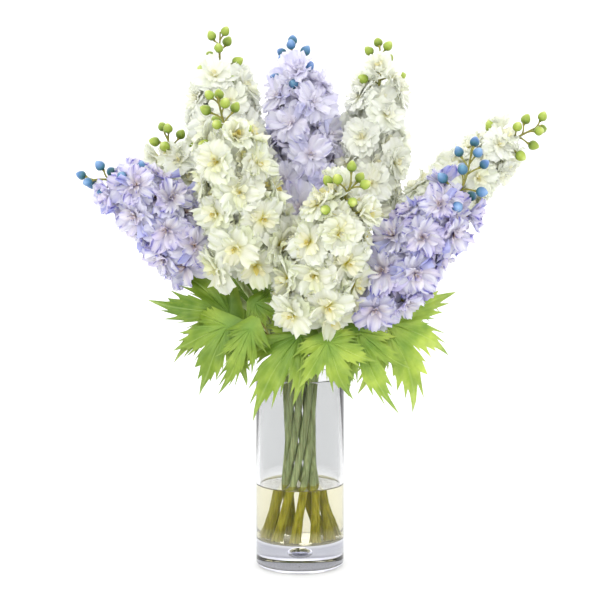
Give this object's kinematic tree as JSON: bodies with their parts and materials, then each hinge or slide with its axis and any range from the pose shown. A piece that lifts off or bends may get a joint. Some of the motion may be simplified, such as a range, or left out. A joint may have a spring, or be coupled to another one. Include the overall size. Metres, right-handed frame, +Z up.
{
  "type": "delphinium bouquet in a vase",
  "caption": "Tall cut delphinium flower spikes with palmate leaves, standing in water in a clear glass cylinder vase with a thick base.",
  "frame": {"origin": "centre of the vase's underside, on the surface it stands on", "axes": "+Z up along the vase's axis, +X to the right and -Y to the front of the arrangement"},
  "size_m": [0.5296, 0.2805, 0.6089],
  "materials": {
    "glass": "clear polished glass",
    "water": "clear water",
    "stem": "smooth fresh plant stem, satin",
    "leaf": "soft fresh leaf, satin",
    "white_petal": "soft matt petal",
    "lavender_petal": "soft matt petal",
    "green_bud": "smooth bud, satin",
    "blue_bud": "smooth bud, satin"
  },
  "bodies": {
    "root": {"vase": "glass", "water": "water", "stem_white_front": "stem", "stem_lavender_right": "stem", "stem_white_right": "stem", "stem_white_back_right": "stem", "stem_lavender_back": "stem", "stem_white_back_left": "stem", "stem_white_far_left": "stem", "stem_lavender_left": "stem", "stem_white_left": "stem", "florets_white_front": "white_petal", "florets_lavender_right": "lavender_petal", "florets_white_right": "white_petal", "florets_white_back_right": "white_petal", "florets_lavender_back": "lavender_petal", "florets_white_back_left": "white_petal", "florets_white_far_left": "white_petal", "florets_lavender_left": "lavender_petal", "florets_white_left": "white_petal", "buds_white_front": "green_bud", "buds_lavender_right": "blue_bud", "buds_white_right": "green_bud", "buds_white_back_right": "green_bud", "buds_lavender_back": "blue_bud", "buds_white_back_left": "green_bud", "buds_white_far_left": "green_bud", "buds_lavender_left": "blue_bud", "buds_white_left": "green_bud", "leaf_front": "leaf", "leaf_front_right": "leaf", "leaf_right_low": "leaf", "leaf_right": "leaf", "leaf_back_right": "leaf", "leaf_back": "leaf", "leaf_back_left": "leaf", "leaf_upper_left": "leaf", "leaf_left": "leaf", "leaf_left_low": "leaf", "leaf_hanging": "leaf", "leaf_centre": "leaf"}
  },
  "joints": []
}
